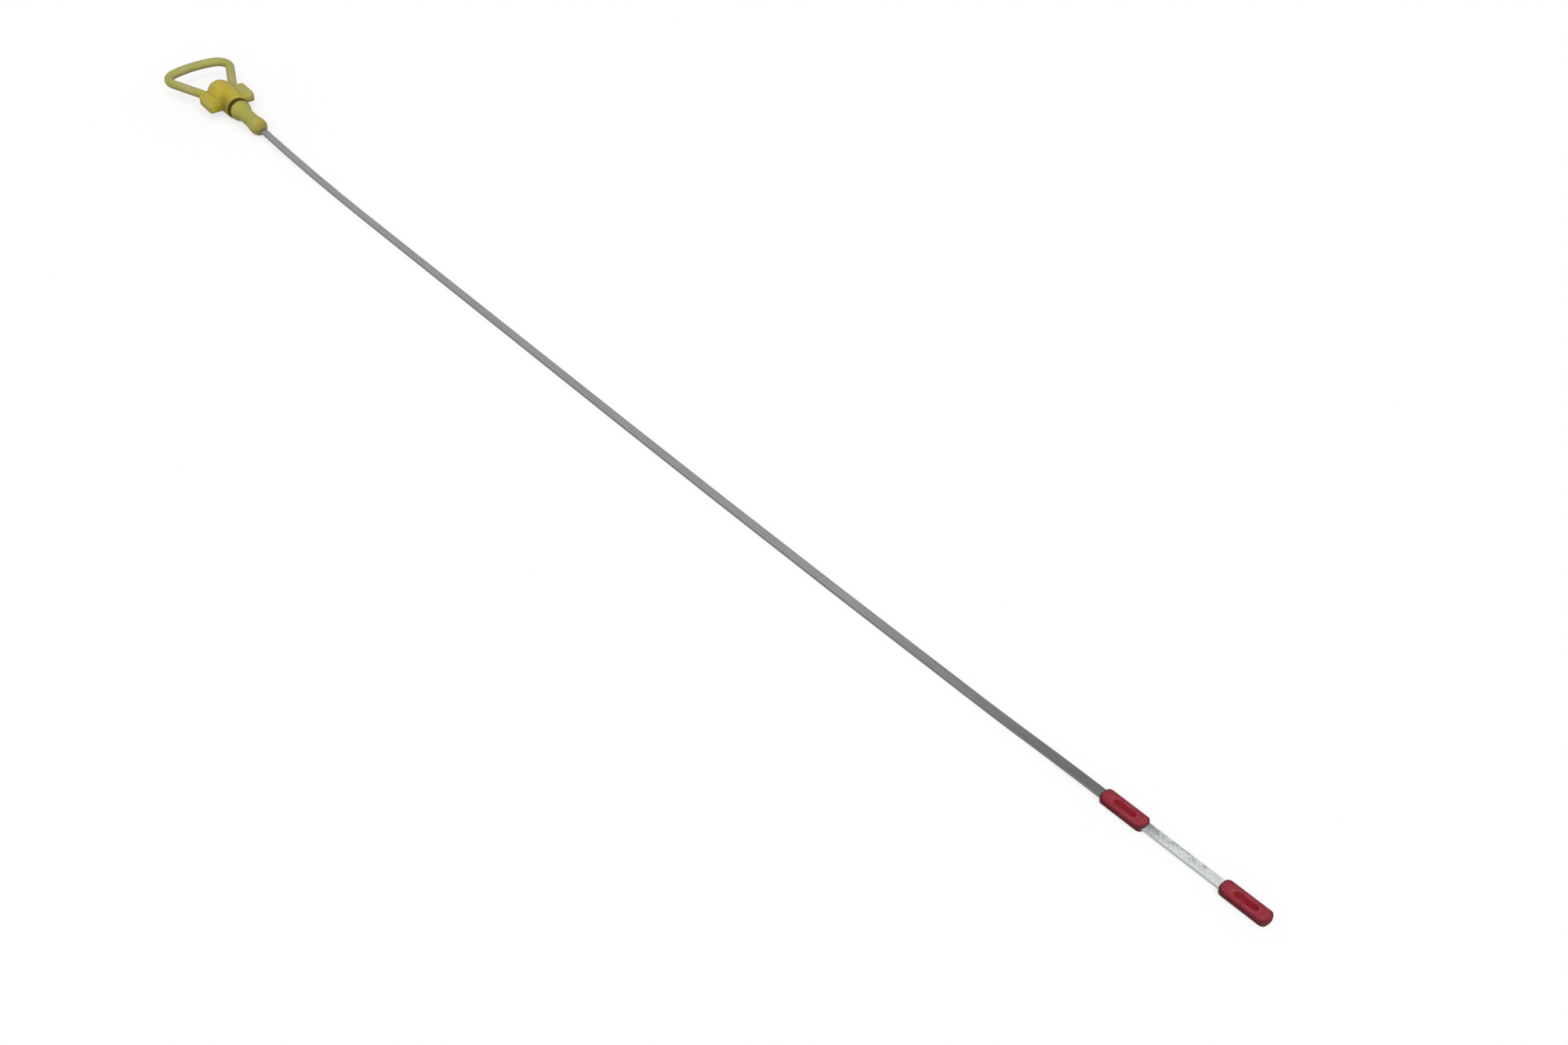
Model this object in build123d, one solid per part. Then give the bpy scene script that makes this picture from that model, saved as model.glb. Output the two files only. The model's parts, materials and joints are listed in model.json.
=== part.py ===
from build123d import *
import os
from math import asin, atan2, cos, degrees, radians, sin, sqrt

# Engine oil dipstick, lying as it rests on a bench. Millimetres and degrees.
# X is level and runs from the handle to the tip, Y lies across the finger loop and Z points up.
# The origin is on the plug's axis, at the root of the land that guides the plug in its tube.
# The handle rests on the rim of its boss and on the bulb of its plug, so the plug's axis dips below X.

# Finger loop
loop_reach = 59.6
loop_width = 39.0
loop_crown_radius = 46.0
loop_corner_radius = 10.0
loop_foot_width = 18.4
loop_root_depth = 6.0
bar_diameter = 4.8

# Wings beside the boss
wing_span = 26.6
wing_length = 15.0
wing_setback = 8.0
wing_thickness = 5.0
wing_corner_radius = 3.5
wing_rounding = 1.6

# Boss
boss_radius = 6.4
boss_back_radius = 7.2
boss_length = 19.0
boss_rim_chamfer = 0.4
boss_blend_radius = 1.2

# Seal ring and its groove
ring_width = 2.6
ring_radius = 5.95
ring_bevel = 0.6
groove_side_clearance = 0.2
groove_radius = 3.5

# Plug
land_radius = 5.6
land_length = 1.5
cone_length = 4.0
neck_radius = 4.0
neck_length = 9.0
bulb_radius = 4.6
bulb_flare_length = 4.5
bulb_belt = 3.4
nose_length = 3.4
nose_end_radius = 2.4

# Measuring strip
strip_width = 4.0
strip_thickness = 1.0
strip_edge = 0.3
strip_root_depth = 12.0
strip_lead = 4.0
strip_free_length = 579.2
set_length = 210.0
set_turn = 1.07
strip_rise_run = 50.0
marker_lead = 4.0
anchor_hole_radius = 1.0
anchor_hole_depth = 7.0

# Marker sleeves
marker_length = 18.1
marker_width = 6.6
marker_thickness = 2.4
marker_corner_radius = 3.1
marker_rounding = 1.1
field_length = 28.4
tip_cover = 3.0
lock_hole_radius = 0.8
recess_length = 9.0
recess_width = 2.4
recess_depth = 0.3

# Worked out from the sizes above
groove_length = ring_width + 2 * groove_side_clearance
shoulder_x = -groove_length
boss_rim_x = shoulder_x - boss_rim_chamfer
boss_back_x = shoulder_x - boss_length
neck_start_x = land_length + cone_length
bulb_start_x = neck_start_x + neck_length
bulb_crest_x = bulb_start_x + bulb_flare_length
bulb_end_x = bulb_crest_x + bulb_belt
plug_end_x = bulb_end_x + nose_length
handle_pitch = degrees(atan2(boss_radius - bulb_radius, bulb_end_x - boss_rim_x))
marker_lift = (marker_thickness - strip_thickness) / 2

up = Vector(0, 0, 1)
plug_place = Rot(0, handle_pitch, 0)
level = Vector(1, 0, 0)
plug_heading = Vector(cos(radians(handle_pitch)), 0, -sin(radians(handle_pitch)))
field_heading = Vector(cos(radians(set_turn)), sin(radians(set_turn)), 0)


def mirrored(point):
    """The same point on the other side of the plug's axis."""
    return Vector(point.X, -point.Y, point.Z)


def loop_path():
    """Middle line of the loop's bar: up one leg, round a corner, over the crown and back down."""
    bar_radius = bar_diameter / 2
    crown_radius = loop_crown_radius - bar_radius
    corner_radius = loop_corner_radius - bar_radius
    reach = loop_reach - bar_radius
    corner_y = loop_width / 2 - loop_corner_radius
    crown_to_corner = crown_radius - corner_radius
    crown_x = crown_radius - reach
    corner_x = crown_x - sqrt(crown_to_corner**2 - corner_y**2)
    crown_share = crown_radius / crown_to_corner
    crown_end = Vector(crown_x + crown_share * (corner_x - crown_x), crown_share * corner_y)

    foot = Vector(boss_back_x, loop_foot_width / 2 - bar_radius)
    to_corner = Vector(corner_x, corner_y) - foot
    leg_angle = atan2(to_corner.Y, to_corner.X) - asin(corner_radius / to_corner.length)
    leg_heading = Vector(cos(leg_angle), sin(leg_angle))
    leg_top = foot + leg_heading * sqrt(to_corner.length**2 - corner_radius**2)
    leg_root = foot - leg_heading * loop_root_depth

    near_leg = Line(mirrored(leg_root), mirrored(leg_top))
    near_corner = TangentArc(mirrored(leg_top), mirrored(crown_end), tangent=near_leg % 1)
    crown = TangentArc(mirrored(crown_end), crown_end, tangent=near_corner % 1)
    far_corner = TangentArc(crown_end, leg_top, tangent=crown % 1)
    far_leg = Line(leg_top, leg_root)
    return Wire([near_leg, near_corner, crown, far_corner, far_leg])


def finger_loop():
    """The loop as a round bar, with both legs rooted in the boss."""
    path = loop_path()
    return sweep(Plane(path @ 0, z_dir=path % 0) * Circle(bar_diameter / 2), path=path)


def rounded_slab(length, width, thickness, corner_radius, rounding):
    """Flat slab along X, rounded as seen from above, from the side and from its end."""
    plan = extrude(RectangleRounded(length, width, corner_radius), thickness, both=True)
    side = extrude(Plane.XZ * RectangleRounded(length, thickness, rounding), width, both=True)
    end = extrude(Plane.YZ * RectangleRounded(width, thickness, rounding), length, both=True)
    return plan & side & end


def wings():
    """Flat wings on both sides of the boss, made as one slab through it."""
    size = (wing_length, wing_span, wing_thickness)
    slab = rounded_slab(*size, wing_corner_radius, wing_rounding)
    return Pos(-wing_setback - wing_length / 2, 0, 0) * slab


def turned_core():
    """The round middle of the handle: domed boss, ring groove, land, cone, neck and blunt bulb."""
    dome_top = (boss_back_x - boss_back_radius, 0)
    boss_back = (boss_back_x, boss_back_radius)
    dome = RadiusArc(dome_top, boss_back, boss_back_radius)
    side = Polyline(
        boss_back,
        (boss_rim_x, boss_radius),
        (shoulder_x, boss_radius - boss_rim_chamfer),
        (shoulder_x, groove_radius),
        (0, groove_radius),
        (0, land_radius),
        (land_length, land_radius),
        (neck_start_x, neck_radius),
        (bulb_start_x, neck_radius),
        (bulb_crest_x, bulb_radius),
        (bulb_end_x, bulb_radius),
        (plug_end_x, nose_end_radius),
        (plug_end_x, 0),
        dome_top,
    )
    return revolve(make_face(Curve() + [dome, side]), Axis.X)


def handle_blank():
    """The whole handle, blended where the wings meet the round core."""
    slab = wings()
    core = turned_core()
    winged_core = slab + core
    blended_core = fillet(new_edges(slab, core, combined=winged_core), boss_blend_radius)
    return finger_loop() + blended_core


def seal_ring():
    """Rubber ring with bevelled outer edges, stretched over the bottom of its groove."""
    ring_height = ring_radius - groove_radius
    section = Pos(0, groove_radius + ring_height / 2) * Rectangle(ring_width, ring_height)
    outer_corners = section.vertices().sort_by(Axis.Y)[-2:]
    return Pos(-groove_length / 2, 0, 0) * revolve(chamfer(outer_corners, ring_bevel), Axis.X)


def easy_step(start, heading, run, rise):
    """Two equal tangent arcs that lift a level strip by the rise and leave it level again."""
    middle = start + heading * (run / 2) + up * (rise / 2)
    end = start + heading * run + up * rise
    first = TangentArc(start, middle, tangent=heading)
    second = TangentArc(middle, end, tangent=first % 1)
    return [first, second]


def strip_path(floor_z):
    """Middle line of the strip: out of the plug, down to the floor, and up into the markers."""
    plug_exit = plug_heading * (plug_end_x + strip_lead)
    inside_plug = Line(plug_heading * -strip_root_depth, plug_exit)
    drop = plug_exit.Z - floor_z - strip_thickness / 2
    landing_radius = drop / (1 - cos(radians(handle_pitch)))
    landing_run = landing_radius * sin(radians(handle_pitch))
    landing = TangentArc(plug_exit, plug_exit + level * landing_run - up * drop, tangent=plug_heading)
    floor_run = strip_free_length - strip_lead - landing_run - set_length - strip_rise_run - marker_lead
    flat = Line(landing @ 1, landing @ 1 + level * floor_run)
    set_radius = set_length / radians(set_turn)
    set_end = flat @ 1 + Vector(sin(radians(set_turn)), 1 - cos(radians(set_turn)), 0) * set_radius
    set_bow = TangentArc(flat @ 1, set_end, tangent=level)
    rise = easy_step(set_end, field_heading, strip_rise_run, marker_lift)
    marked_length = marker_lead + 2 * marker_length + field_length - tip_cover
    marked = Line(rise[-1] @ 1, rise[-1] @ 1 + field_heading * marked_length)
    return Wire([inside_plug, landing, flat, set_bow, *rise, marked])


def on_strip(path, distance_from_end):
    """Place on the marked end of the strip, so far back from its end, facing along it."""
    return Plane(path @ 1 - field_heading * distance_from_end, x_dir=field_heading, z_dir=up)


def steel_strip(path, max_marker_place, min_marker_place):
    """Spring steel strip with a hole for the plastic in the plug and one under each marker."""
    root = Plane(path @ 0, x_dir=(0, 1, 0), z_dir=plug_heading)
    section = chamfer(Rectangle(strip_width, strip_thickness).vertices(), strip_edge)
    strip = sweep(root * section, path=path)
    punch_length = 2 * strip_thickness
    anchor_place = plug_place * Pos(anchor_hole_depth - strip_root_depth, 0, 0)
    anchor_hole = anchor_place * Cylinder(anchor_hole_radius, punch_length)
    lock_hole = Pos(marker_length / 2, 0, 0) * Cylinder(lock_hole_radius, punch_length)
    return strip - anchor_hole - max_marker_place * lock_hole - min_marker_place * lock_hole


def marker_blank():
    """Pillow-shaped sleeve with a shallow slot in its upper and its lower face."""
    size = (marker_length, marker_width, marker_thickness)
    slab = rounded_slab(*size, marker_corner_radius, marker_rounding)
    slot = Pos(0, 0, marker_thickness / 2) * SlotOverall(recess_length, recess_width)
    recess = extrude(slot, -recess_depth)
    return Pos(marker_length / 2, 0, 0) * (slab - recess - mirror(recess, about=Plane.XY))


whole_handle = plug_place * handle_blank()
path = strip_path(whole_handle.bounding_box().min.Z)
min_marker_place = on_strip(path, marker_length - tip_cover)
max_marker_place = on_strip(path, marker_length - tip_cover + field_length + marker_length)
strip = steel_strip(path, max_marker_place, min_marker_place)

pieces = {
    "handle": whole_handle - strip,
    "seal_ring": plug_place * seal_ring(),
    "measuring_strip": strip,
    "max_marker": max_marker_place * marker_blank() - strip,
    "min_marker": min_marker_place * marker_blank() - strip,
}

os.makedirs("parts", exist_ok=True)
for name, piece in pieces.items():
    export_step(piece, f"parts/{name}.step")
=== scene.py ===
import json
from math import atan2, cos, pi, radians, sin

import bmesh
import bpy
from mathutils import Matrix, Vector


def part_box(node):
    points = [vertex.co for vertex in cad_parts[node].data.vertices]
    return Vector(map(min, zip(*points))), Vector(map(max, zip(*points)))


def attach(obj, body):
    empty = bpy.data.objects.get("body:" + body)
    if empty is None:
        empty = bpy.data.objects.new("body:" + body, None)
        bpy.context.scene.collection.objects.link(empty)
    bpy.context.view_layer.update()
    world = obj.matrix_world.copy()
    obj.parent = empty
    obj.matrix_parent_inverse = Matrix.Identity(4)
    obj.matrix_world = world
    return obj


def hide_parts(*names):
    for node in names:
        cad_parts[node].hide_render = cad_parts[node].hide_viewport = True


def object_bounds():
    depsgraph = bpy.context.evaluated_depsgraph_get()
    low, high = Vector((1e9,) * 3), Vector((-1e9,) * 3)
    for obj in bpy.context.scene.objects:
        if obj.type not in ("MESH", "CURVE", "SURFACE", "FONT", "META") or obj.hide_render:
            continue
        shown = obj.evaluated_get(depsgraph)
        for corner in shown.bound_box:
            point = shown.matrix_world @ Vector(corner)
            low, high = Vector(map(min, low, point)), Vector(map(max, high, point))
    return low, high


# Engine oil dipstick on a white table. Metres and degrees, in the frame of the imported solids:
# X runs from the handle to the tip, Y lies across the finger loop and Z points up.
# In the finishes, a range is where a mask fades in, and a share is how strong it gets.

MM = 0.001

# Camera, read from the perspective of the photograph
camera_x = 782.9 * MM
camera_y = -281.7 * MM
camera_height = 400.0 * MM
camera_dip = 41.5
camera_turn = 49.68
camera_lens = 36.126
camera_sensor = 36.0

# Light: each share is what it adds to the brightness of a level surface
white = (1.0, 1.0, 1.0, 1.0)
sky_share = 0.50
sun_share = 0.40
sun_softness = 60.0
sun_lean_x = 16.0
sun_lean_y = 50.0

# Table: its own tone carries the shadow, and the lift makes it white to the eye
table_size = 8.0
table_tone = 0.32
table_white_lift = 0.712

# Moulded skin: size of its squares, passes that soften all edges and passes that fill its hollows
weld_gap = 0.002 * MM
handle_square = 0.30 * MM
ring_square = 0.15 * MM
sleeve_square = 0.15 * MM
soften_share = 0.5
edge_passes = 2
hollow_passes = 14
hollow_limit = 0.04
relief_passes = 5

# Round nose of the plug, with a plain rim round the strip's mouth
nose_passes = 60
nose_reach = 4.6 * MM
mouth_width = 0.6 * MM

# Fineness of the noise in the finishes
cloud_detail = 4.0
grain_detail = 2.0
streak_detail = 6.0

# Handle plastic: its clouds, patches, grain and parting line
handle_cloud = 9.0 * MM
pale_cloud_range = (0.45, 0.75)
pale_cloud_share = 0.35
handle_patch = 16.0 * MM
patch_range = (0.35, 0.65)
worn_edge_range = (0.02, 0.12)
worn_edge_share = 0.35
handle_grain = 0.35 * MM
handle_grain_depth = 0.04 * MM
parting_half_width = 0.2 * MM
parting_depth = 0.05 * MM
handle_roughness = 0.42
handle_roughness_spread = 0.16
handle_shine = 0.2
handle_green = (0.335, 0.355, 0.072)
handle_beige = (0.40, 0.345, 0.13)
handle_pale = (0.48, 0.455, 0.18)

# Amber of the boss, which reaches further over the near wing, and olive of the plug
boss_length = 28.0 * MM
boss_fade = 15.0 * MM
boss_half_width = 6.5 * MM
wing_half_span = 13.0 * MM
amber_shift = 2.5 * MM
amber_loss_on_wing = 0.85
amber_base = 0.6
amber_cloud_share = 0.7
plug_fade = 1.0 * MM
plug_share = 0.75
boss_amber = (0.50, 0.385, 0.020)
plug_olive = (0.385, 0.36, 0.055)

# Painted shade on the handle: in its hollows, by the ring, on the nose and on its lower side
hollow_shade_range = (0.01, 0.07)
hollow_shade_share = 0.85
ring_shade_reach = 10.5 * MM
ring_shade_solid = 3.5 * MM
ring_shade_share = 0.7
nose_shade_reach = 4.0 * MM
nose_shade_share = 0.6
low_side_bottom = -1.5 * MM
low_side_top = 1.0 * MM
low_side_shade_share = 0.3
handle_painted_shade = (0.16, 0.11, 0.010)

# Ring rubber
rubber_cloud = 1.6 * MM
bloom_range = (0.45, 0.75)
rubber_grain = 0.15 * MM
rubber_grain_depth = 0.01 * MM
rubber_roughness = 0.65
rubber_roughness_spread = 0.2
rubber_shine = 0.08
rubber_brown = (0.055, 0.034, 0.002)
rubber_bloom = (0.105, 0.065, 0.004)

# Strip and its steel, where a facing is the upward part of a surface's direction
strip_width = 4.0 * MM
strip_thickness = 1.0 * MM
streak_size = 0.30 * MM
streak_stretch = 0.02
streak_depth = 0.02 * MM
stain_size = 4.0 * MM
stain_stretch = 0.15
mottle_share = 0.8
# Painted shade: the steel darkens towards the tip between these two points
tip_shade_start = 450.0 * MM
tip_shade_end = 630.0 * MM
# Painted shade on the strip's sides: full where the facing is below the first, none above the second
side_shade_facing = 0.72
top_facing = 0.95
steel_metal = 0.9
steel_roughness = 0.40
steel_roughness_spread = 0.2
# Light and dark steel, the dark one serving for stains and for the painted shade towards the tip, and the
# colour of the sides, which is painted shade
steel_light = (0.295, 0.301, 0.307)
steel_dark = (0.145, 0.152, 0.153)
steel_side_shade = (0.18, 0.186, 0.186)

# Measuring field: its hatch and the oil on it
field_width = 3.3 * MM
field_tuck = 1.0 * MM
field_rise = 0.10 * MM
field_body = 0.15 * MM
field_border = 0.25 * MM
hatch_pitch = 1.4 * MM
hatch_half_width = 0.28 * MM
hatch_depth = 0.05 * MM
hatch_lean = 45.0
hatch_cell = 0.10 * MM
oil_spot = 2.2 * MM
oil_spot_range = (0.40, 0.62)
oil_spot_share = 0.6
oil_reach = 9.5 * MM
oil_reach_share = 0.6
oil_groove_share = 0.3
oil_streak_share = 0.15
field_bright = (0.72, 0.74, 0.74)
field_dull = (0.28, 0.305, 0.31)
# Painted shade on the strip's sides within the field
field_side_shade = (0.42, 0.44, 0.44)

# Sleeve plastic and its slot, which is as in the solids
slot_half_run = 3.3 * MM
slot_radius = 1.2 * MM
slot_fade = 0.5 * MM
slot_base = 0.4
# Painted highlight on the rim round the slot
rim_width = 1.0 * MM
rim_range = (0.35, 0.65)
rim_highlight_share = 0.6
sleeve_half_run = 5.75 * MM
# Painted shade on the sleeve's flanks
flank_start = 2.2 * MM
flank_end = 3.1 * MM
flank_shade_share = 0.8
# Painted shade in the sleeve's hollows
sleeve_hollow_shade_range = (0.01, 0.10)
sleeve_hollow_shade_share = 0.6
sleeve_cloud = 2.2 * MM
sleeve_cloud_range = (0.4, 0.7)
sleeve_cloud_share = 0.3
sleeve_grain = 0.2 * MM
sleeve_grain_depth = 0.01 * MM
sleeve_roughness = 0.32
sleeve_roughness_spread = 0.16
sleeve_shine = 0.12
sleeve_red = (0.285, 0.024, 0.040)
sleeve_deep_red = (0.23, 0.004, 0.010)
# The pale red serves for pale clouds and for the painted highlight on the rim
sleeve_pale_red = (0.40, 0.080, 0.105)
# Maroon is painted shade on the flanks and in the hollows
sleeve_maroon = (0.075, 0.010, 0.014)

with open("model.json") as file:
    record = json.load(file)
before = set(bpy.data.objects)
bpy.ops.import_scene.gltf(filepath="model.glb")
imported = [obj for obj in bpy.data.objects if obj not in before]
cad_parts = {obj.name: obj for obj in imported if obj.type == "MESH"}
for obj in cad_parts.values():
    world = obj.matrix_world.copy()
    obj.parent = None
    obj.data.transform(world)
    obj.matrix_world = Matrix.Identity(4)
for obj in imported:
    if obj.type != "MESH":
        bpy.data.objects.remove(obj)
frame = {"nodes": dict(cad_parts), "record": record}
cad_low, cad_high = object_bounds()
nodes = frame["nodes"]
floor_z = cad_low.z


def middle(node):
    """Middle of a node's box."""
    low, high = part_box(node)
    return (low + high) / 2


# Where the boss and the plug end, and which way the plug points
boss_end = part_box("seal_ring")[0].x
plug_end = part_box("handle")[1].x
plug_axis = Vector(frame["record"]["mounts"][0]["axis"])

# Where the measuring field lies, from the two sleeves at its ends
field_line = middle("min_marker") - middle("max_marker")
field_turn = atan2(field_line.y, field_line.x)
field_centre = (middle("min_marker") + middle("max_marker")) / 2
field_start_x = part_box("max_marker")[1].x
field_end_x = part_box("min_marker")[0].x
field_length = field_end_x - field_start_x


class Value:
    """A shader socket that Python arithmetic works on, one Math node for each operation."""

    def __init__(self, finish, socket):
        self.finish = finish
        self.socket = socket

    def maths(self, operation, *terms):
        return self.finish.add("ShaderNodeMath", {"operation": operation}, dict(enumerate(terms)))

    def __add__(self, other):
        return self.maths("ADD", self, other)

    __radd__ = __add__

    def __sub__(self, other):
        return self.maths("SUBTRACT", self, other)

    def __rsub__(self, other):
        return self.maths("SUBTRACT", other, self)

    def __mul__(self, other):
        return self.maths("MULTIPLY", self, other)

    __rmul__ = __mul__

    def __abs__(self):
        return self.maths("ABSOLUTE", self)

    def root(self):
        return self.maths("SQRT", self)

    def at_most(self, other):
        return self.maths("MINIMUM", self, other)

    def at_least(self, other):
        return self.maths("MAXIMUM", self, other)

    def step_up(self, start, end):
        """0 below start, 1 above end and smooth between them."""
        inputs = {"Value": self, "From Min": start, "From Max": end}
        return self.finish.add("ShaderNodeMapRange", {"interpolation_type": "SMOOTHSTEP"}, inputs)

    def step_down(self, start, end):
        """1 below start, 0 above end and smooth between them."""
        return 1 - self.step_up(start, end)


class Finish:
    """A node material or world that is being put together."""

    # Places of the factor, the two colours and the result among a Mix node's sockets
    MIX_FACTOR, MIX_FIRST, MIX_SECOND, MIX_RESULT = 0, 6, 7, 2

    def __init__(self, owner):
        owner.use_nodes = True
        self.owner = owner
        self.tree = owner.node_tree
        self.tree.nodes.clear()

    def add(self, kind, settings=None, inputs=None, output=0):
        """Add one node: its settings first, then the values or links of its inputs."""
        node = self.tree.nodes.new(kind)
        for name, value in (settings or {}).items():
            setattr(node, name, value)
        for name, value in (inputs or {}).items():
            if isinstance(value, Value):
                self.tree.links.new(value.socket, node.inputs[name])
            else:
                node.inputs[name].default_value = value
        if node.outputs:
            return Value(self, node.outputs[output])

    def place(self, centre=(0, 0, 0), turn=0, stretch=1):
        """Object coordinates about a centre, turned about Z and stretched along X."""
        local = self.add("ShaderNodeTexCoord", output="Object")
        inputs = {"Vector": local, "Location": [-c for c in centre]}
        moved = self.add("ShaderNodeMapping", None, inputs)
        inputs = {"Vector": moved, "Rotation": (0, 0, -turn), "Scale": (stretch, 1, 1)}
        return self.add("ShaderNodeMapping", None, inputs)

    def axis(self, place, name):
        return self.add("ShaderNodeSeparateXYZ", None, {"Vector": place}, name)

    def from_spine(self, place, half_run):
        """Distance in plan from a line along X, which runs so far to both sides of the centre."""
        along = (abs(self.axis(place, "X")) - half_run).at_least(0)
        across = self.axis(place, "Y")
        return (along * along + across * across).root()

    def attribute(self, name):
        return self.add("ShaderNodeAttribute", {"attribute_name": name}, output="Fac")

    def noise(self, place, size, detail=cloud_detail):
        """Cloudy noise with features of about the given size, from 0 to 1."""
        inputs = {"Vector": place, "Scale": 1 / size, "Detail": detail}
        return self.add("ShaderNodeTexNoise", None, inputs, "Fac")

    def mix(self, factor, first, second):
        """Blend of two colours."""
        first, second = [c if isinstance(c, Value) else (*c, 1.0) for c in (first, second)]
        inputs = {self.MIX_FACTOR: factor, self.MIX_FIRST: first, self.MIX_SECOND: second}
        return self.add("ShaderNodeMix", {"data_type": "RGBA"}, inputs, self.MIX_RESULT)

    def bump(self, height, depth, under=None):
        """Relief of the given depth, on top of any relief under it."""
        inputs = {"Height": height, "Distance": depth}
        if under is not None:
            inputs["Normal"] = under
        return self.add("ShaderNodeBump", None, inputs)

    def surface(self, inputs):
        """Close the material with a shader that has these inputs."""
        shader = self.add("ShaderNodeBsdfPrincipled", None, inputs)
        self.add("ShaderNodeOutputMaterial", None, {"Surface": shader})
        return self.owner


def new_material(name):
    return Finish(bpy.data.materials.new(name))


def seen_directly(finish):
    """1 for what the camera, a reflection or a glass sees, and 0 for the light that falls on things."""
    rays = ("Is Camera Ray", "Is Glossy Ray", "Is Transmission Ray")
    camera, glossy, transmission = [finish.add("ShaderNodeLightPath", output=name) for name in rays]
    return camera.at_least(glossy).at_least(transmission)


def on_plug(finish):
    """1 on the plug, from the ring's groove on, and 0 on the boss, the wings and the loop."""
    return finish.axis(finish.place(), "X").step_up(boss_end, boss_end + plug_fade)


def above_parting(finish):
    """Height above the plane in which the two halves of the handle's mould met."""
    place = finish.place()
    return finish.axis(place, "Z") * plug_axis.x - finish.axis(place, "X") * plug_axis.z


def amber_zone(finish, cloud):
    """Where the plastic is ambered: over the boss and the near wing, in clouds."""
    place = finish.place()
    boss_start = boss_end - boss_length
    boss = finish.axis(place, "X").step_up(boss_start, boss_start + boss_fade) * (1 - on_plug(finish))
    wing = abs(finish.axis(place, "Y") + amber_shift).step_up(boss_half_width, wing_half_span)
    clouds = amber_base + cloud * amber_cloud_share
    return (boss * (1 - wing * amber_loss_on_wing) * clouds).at_most(1)


def painted_shade_zone(finish):
    """Where shade is painted: in hollows, by the ring on the near side, on the nose and underneath."""
    place = finish.place()
    along = finish.axis(place, "X")
    across = finish.axis(place, "Y")
    # Painted shade in the hollows
    in_hollows = finish.attribute("relief").step_up(*hollow_shade_range) * hollow_shade_share
    # Painted shade on the near side of the boss by the ring
    near_side = across.step_up(-wing_half_span, -boss_half_width) * across.step_down(-boss_half_width, 0)
    by_ring = along.step_up(boss_end - ring_shade_reach, boss_end - ring_shade_solid)
    by_ring = by_ring * (1 - on_plug(finish)) * near_side * ring_shade_share
    # Painted shade on the nose of the plug
    on_nose = along.step_up(plug_end - nose_shade_reach, plug_end) * nose_shade_share
    # Painted shade, darker towards the bottom of the handle
    underneath = above_parting(finish).step_down(low_side_bottom, low_side_top) * low_side_shade_share
    return in_hollows.at_least(by_ring).at_least(on_nose).at_least(underneath)


def handle_plastic():
    """Olive yellow moulded plastic: ambered on the boss, paler on its edges, with painted shade in its
    hollows, by the ring, on the nose and underneath.
    """
    finish = new_material("handle_plastic_moulded")
    place = finish.place()
    cloud = finish.noise(place, handle_cloud)
    patches = finish.noise(place, handle_patch).step_up(*patch_range)
    pale_clouds = cloud.step_up(*pale_cloud_range) * pale_cloud_share
    worn_edges = (0 - finish.attribute("relief")).step_up(*worn_edge_range) * worn_edge_share
    colour = finish.mix(patches, handle_green, handle_beige)
    colour = finish.mix(amber_zone(finish, cloud), colour, boss_amber)
    colour = finish.mix(pale_clouds, colour, handle_pale)
    colour = finish.mix(on_plug(finish) * plug_share, colour, plug_olive)
    colour = finish.mix(worn_edges, colour, handle_pale)
    # Painted shade in the hollows, by the ring, on the nose and underneath
    colour = finish.mix(painted_shade_zone(finish), colour, handle_painted_shade)
    grain = finish.bump(finish.noise(place, handle_grain, grain_detail), handle_grain_depth)
    parting = abs(above_parting(finish)).step_down(0, parting_half_width)
    return finish.surface({
        "Base Color": colour,
        "Roughness": handle_roughness + cloud * handle_roughness_spread,
        "Specular IOR Level": handle_shine,
        "Normal": finish.bump(parting, parting_depth, grain),
    })


def seal_rubber():
    """Matt dark brown rubber with a dry bloom."""
    finish = new_material("seal_rubber_matt")
    place = finish.place()
    bloom = finish.noise(place, rubber_cloud).step_up(*bloom_range)
    grain = finish.noise(place, rubber_grain, grain_detail)
    return finish.surface({
        "Base Color": finish.mix(bloom, rubber_brown, rubber_bloom),
        "Roughness": rubber_roughness + bloom * rubber_roughness_spread,
        "Specular IOR Level": rubber_shine,
        "Normal": finish.bump(grain, rubber_grain_depth),
    })


def strip_steel():
    """Dull rolled steel with stains, painted shade towards its tip and on its sides, and a bright
    measuring field.
    """
    finish = new_material("strip_steel_rolled")
    along = finish.axis(finish.place(), "X")
    facing = abs(finish.axis(finish.add("ShaderNodeNewGeometry", output="Normal"), "Z"))
    streaks = finish.noise(finish.place(stretch=streak_stretch), streak_size, streak_detail)
    stains = finish.noise(finish.place(stretch=stain_stretch), stain_size)
    in_field = along.step_up(field_start_x - field_tuck, field_start_x)
    in_field = in_field * along.step_down(field_end_x, field_end_x + field_tuck)
    mottle = (streaks + stains - 1) * mottle_share
    # Painted shade towards the tip, with real stains and streaks on top
    tip_shade_and_stains = (along.step_up(tip_shade_start, tip_shade_end) + mottle).at_least(0).at_most(1)
    # Painted shade on the sides, which face less upward
    side_shade = facing.step_down(side_shade_facing, top_facing)
    dull = finish.mix(side_shade, finish.mix(tip_shade_and_stains, steel_light, steel_dark), steel_side_shade)
    bright = finish.mix(side_shade, field_bright, field_side_shade)
    return finish.surface({
        "Base Color": finish.mix(in_field, dull, bright),
        "Metallic": steel_metal,
        "Roughness": steel_roughness + streaks * steel_roughness_spread,
        "Normal": finish.bump(streaks, streak_depth),
    })


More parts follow.
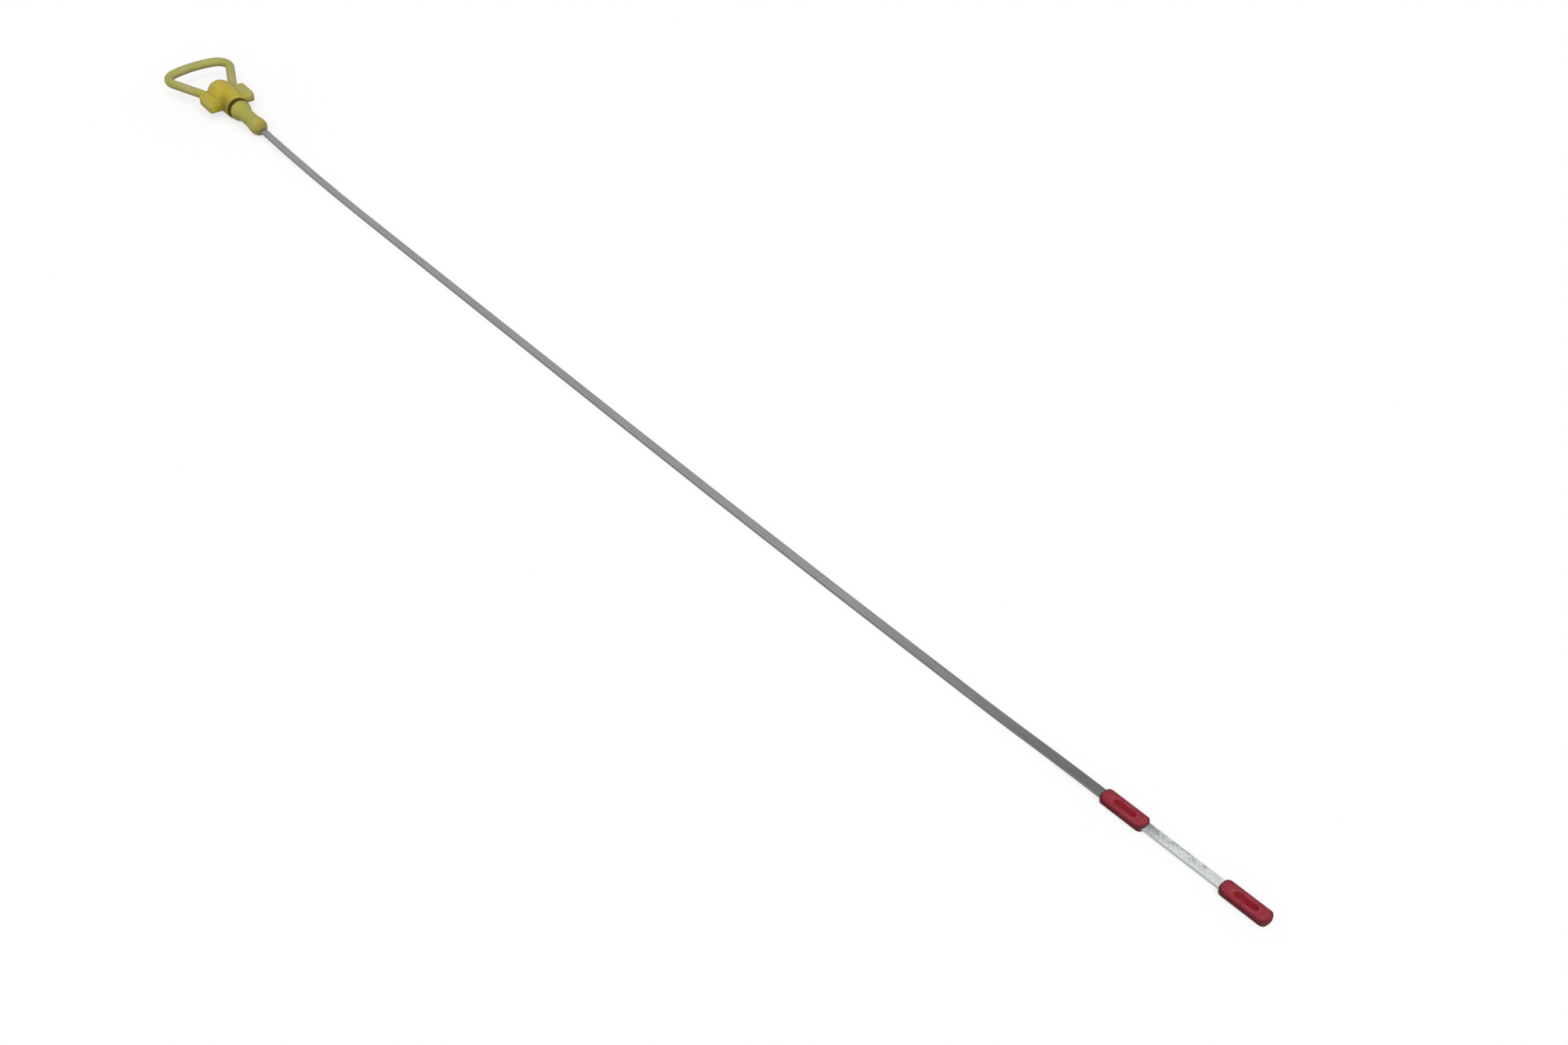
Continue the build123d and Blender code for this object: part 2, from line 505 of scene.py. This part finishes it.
def field_steel():
    """Bright hatched steel with dull oil left in the hatch, along its far edge and by the upper sleeve."""
    finish = new_material("field_steel_hatched")
    local = finish.place(field_centre, field_turn)
    along = finish.axis(local, "X")
    across = finish.axis(local, "Y")
    streaks = finish.noise(finish.place(field_centre, field_turn, streak_stretch), streak_size)
    far_edge = across.step_up(-field_width / 2, field_width / 2)
    spots = finish.noise(local, oil_spot).step_up(*oil_spot_range)
    by_sleeve = along.step_down(-field_length / 2, oil_reach - field_length / 2)
    oil = far_edge * spots * oil_spot_share + by_sleeve * oil_reach_share
    oil = oil + finish.attribute("groove") * oil_groove_share + streaks * oil_streak_share
    oil = oil.at_most(1)
    return finish.surface({
        "Base Color": finish.mix(oil, field_bright, field_dull),
        "Metallic": steel_metal,
        "Roughness": steel_roughness + oil * steel_roughness_spread,
        "Normal": finish.bump(streaks, streak_depth),
    })


def sleeve_plastic(node):
    """Deep red plastic with a soft gloss: a painted highlight round the slot, deeper red in it, and
    painted shade on the flanks and in the hollows.
    """
    finish = new_material(node + "_red")
    local = finish.place(middle(node), field_turn)
    from_slot = finish.from_spine(local, slot_half_run)
    cloud = finish.noise(local, sleeve_cloud)
    grain = finish.noise(local, sleeve_grain, grain_detail)
    slot = from_slot.step_down(slot_radius - slot_fade, slot_radius + slot_fade)
    # Painted highlight on the rim round the slot
    rim_highlight = from_slot.step_up(slot_radius - slot_fade, slot_radius)
    rim_highlight = rim_highlight * from_slot.step_down(slot_radius, slot_radius + rim_width) * cloud.step_up(*rim_range)
    # Painted shade on the flanks
    flank_shade = finish.from_spine(local, sleeve_half_run).step_up(flank_start, flank_end)
    # Painted shade in the hollows
    shaded_hollows = finish.attribute("relief").step_up(*sleeve_hollow_shade_range)
    pale_clouds = cloud.step_up(*sleeve_cloud_range) * sleeve_cloud_share
    colour = finish.mix(pale_clouds, sleeve_red, sleeve_pale_red)
    colour = finish.mix(rim_highlight * rim_highlight_share, colour, sleeve_pale_red)
    colour = finish.mix((slot * (slot_base + cloud)).at_most(1), colour, sleeve_deep_red)
    colour = finish.mix(flank_shade * flank_shade_share, colour, sleeve_maroon)
    colour = finish.mix(shaded_hollows * sleeve_hollow_shade_share, colour, sleeve_maroon)
    return finish.surface({
        "Base Color": colour,
        "Roughness": sleeve_roughness + cloud * sleeve_roughness_spread,
        "Specular IOR Level": sleeve_shine,
        "Normal": finish.bump(grain, sleeve_grain_depth),
    })


def dress(piece, material):
    """Give a piece its finish."""
    piece.data.materials.clear()
    piece.data.materials.append(material)


def show(name, mesh):
    """A finished piece of the object, riding with it."""
    piece = bpy.data.objects.new(name, mesh)
    bpy.context.collection.objects.link(piece)
    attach(piece, "root")
    return piece


def even_skin(node, square):
    """A node's surface as a bmesh of even squares."""
    shell = bmesh.new()
    shell.from_mesh(nodes[node].data)
    bmesh.ops.remove_doubles(shell, verts=shell.verts, dist=weld_gap)
    blank = bpy.data.objects.new("blank", bpy.data.meshes.new("blank"))
    shell.to_mesh(blank.data)
    bpy.context.collection.objects.link(blank)
    remesh = blank.modifiers.new("skin", "REMESH")
    remesh.mode = "VOXEL"
    remesh.voxel_size = square
    drawn = blank.evaluated_get(bpy.context.evaluated_depsgraph_get())
    shell.clear()
    shell.from_mesh(drawn.data)
    bpy.data.objects.remove(blank)
    return shell


def neighbours(vert):
    return [edge.other_vert(vert) for edge in vert.link_edges]


def average(values):
    return sum(values) / len(values)


def hollow(vert):
    """How far a point lies below its neighbours, as a share of their distance."""
    return average([(other.co - vert.co).normalized().dot(vert.normal) for other in neighbours(vert)])


def soften(skin, verts):
    """Draw points towards the middle of their neighbours."""
    axes = {"use_axis_x": True, "use_axis_y": True, "use_axis_z": True}
    bmesh.ops.smooth_vert(skin, verts=verts, factor=soften_share, **axes)


def mark_relief(skin):
    """Keep on each point whether it lies in a hollow, above 0, or on an edge, below 0."""
    relief = skin.verts.layers.float.new("relief")
    for vert in skin.verts:
        vert[relief] = hollow(vert)
    for _ in range(relief_passes):
        spread = [average([other[relief] for other in neighbours(vert)]) for vert in skin.verts]
        for vert, value in zip(skin.verts, spread):
            vert[relief] = value


def round_nose(skin):
    """Round the end of the plug, apart from the mouth that the strip comes out of."""
    nose = []
    for vert in skin.verts:
        height = vert.co.z * plug_axis.x - vert.co.x * plug_axis.z
        beside = abs(vert.co.y) > strip_width / 2 + mouth_width
        above_or_below = abs(height) > strip_thickness / 2 + mouth_width
        if vert.co.x > plug_end - nose_reach and (beside or above_or_below):
            nose.append(vert)
    for _ in range(nose_passes):
        soften(skin, nose)


def moulded(node, name, square, shape=None):
    """A node as it comes out of the mould, with soft edges, any further shaping and blended hollows."""
    skin = even_skin(node, square)
    for _ in range(edge_passes):
        soften(skin, skin.verts)
    if shape:
        shape(skin)
    skin.normal_update()
    mark_relief(skin)
    for _ in range(hollow_passes):
        soften(skin, [vert for vert in skin.verts if hollow(vert) > hollow_limit])
        skin.normal_update()
    for face in skin.faces:
        face.smooth = True
    mesh = bpy.data.meshes.new(name)
    skin.to_mesh(mesh)
    skin.free()
    piece = show(name, mesh)
    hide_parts(node)
    return piece


def groove_share(distance):
    """1 at the bottom of a hatch groove and 0 on the land between two grooves."""
    turns = distance / hatch_pitch
    return max(0, 1 - abs(turns - round(turns)) * hatch_pitch / hatch_half_width)


def hatched_field():
    """Cross hatch pressed into the top of the strip between the two sleeves."""
    length = field_length + 2 * field_tuck
    cells_along, cells_across = [round(size / hatch_cell) for size in (length, field_width)]
    plate = bmesh.new()
    groove = plate.verts.layers.float.new("groove")
    # A grid with sides of 1, drawn out to the size of the field
    bmesh.ops.create_grid(plate, x_segments=cells_along, y_segments=cells_across, size=1 / 2)
    bmesh.ops.scale(plate, vec=(length, field_width, 1), verts=plate.verts)
    lean = radians(hatch_lean)
    for vert in plate.verts:
        along = vert.co.x * cos(lean)
        across = vert.co.y * sin(lean)
        inside = min(1, (field_width / 2 - abs(vert.co.y)) / field_border)
        vert[groove] = inside * max(groove_share(along + across), groove_share(along - across))
        vert.co.z = -hatch_depth * vert[groove]
    for face in plate.faces:
        face.smooth = True
    bmesh.ops.solidify(plate, geom=plate.faces[:], thickness=field_body)
    bmesh.ops.recalc_face_normals(plate, faces=plate.faces)
    top = field_centre + Vector((0, 0, strip_thickness / 2 + field_rise))
    plate.transform(Matrix.Translation(top) @ Matrix.Rotation(field_turn, 4, "Z"))
    mesh = bpy.data.meshes.new("hatched_field")
    plate.to_mesh(mesh)
    plate.free()
    return show("hatched_field", mesh)


def table():
    """White table top that keeps the object's soft shadow."""
    bpy.ops.mesh.primitive_plane_add(size=table_size, location=(0, 0, floor_z))
    top = bpy.context.object
    top.name = "table_top"
    finish = new_material("table_white")
    matt = finish.add("ShaderNodeBsdfDiffuse", None, {"Color": (table_tone, table_tone, table_tone, 1.0)})
    strength = seen_directly(finish) * table_white_lift
    lift = finish.add("ShaderNodeEmission", None, {"Color": white, "Strength": strength})
    both = finish.add("ShaderNodeAddShader", None, {0: matt, 1: lift})
    finish.add("ShaderNodeOutputMaterial", None, {"Surface": both})
    dress(top, finish.owner)


def light():
    """Even white sky with a large soft lamp overhead, which leans towards the tip."""
    sky = Finish(bpy.data.worlds.new("studio_sky"))
    strength = sky_share + seen_directly(sky) * (1 - sky_share)
    background = sky.add("ShaderNodeBackground", None, {"Color": white, "Strength": strength})
    sky.add("ShaderNodeOutputWorld", None, {"Surface": background})
    bpy.context.scene.world = sky.owner
    lamp = bpy.data.lights.new("overhead", "SUN")
    lamp.angle = radians(sun_softness)
    lamp.energy = sun_share * pi / (cos(radians(sun_lean_x)) * cos(radians(sun_lean_y)))
    holder = bpy.data.objects.new("overhead", lamp)
    holder.rotation_euler = (radians(sun_lean_x), radians(sun_lean_y), 0)
    bpy.context.collection.objects.link(holder)


def camera():
    """Camera at the photograph's angle."""
    eye = bpy.data.cameras.new("photo_camera")
    eye.lens = camera_lens
    eye.sensor_width = camera_sensor
    holder = bpy.data.objects.new("photo_camera", eye)
    holder.location = (camera_x, camera_y, floor_z + camera_height)
    holder.rotation_euler = (radians(90 - camera_dip), 0, radians(camera_turn))
    bpy.context.collection.objects.link(holder)
    bpy.context.scene.camera = holder


dress(moulded("handle", "moulded_handle", handle_square, round_nose), handle_plastic())
dress(moulded("seal_ring", "rubber_ring", ring_square), seal_rubber())
dress(nodes["measuring_strip"], strip_steel())
dress(hatched_field(), field_steel())
for sleeve in ("max_marker", "min_marker"):
    dress(moulded(sleeve, sleeve + "_sleeve", sleeve_square), sleeve_plastic(sleeve))
table()
light()
camera()
bpy.context.scene.view_settings.view_transform = "Standard"
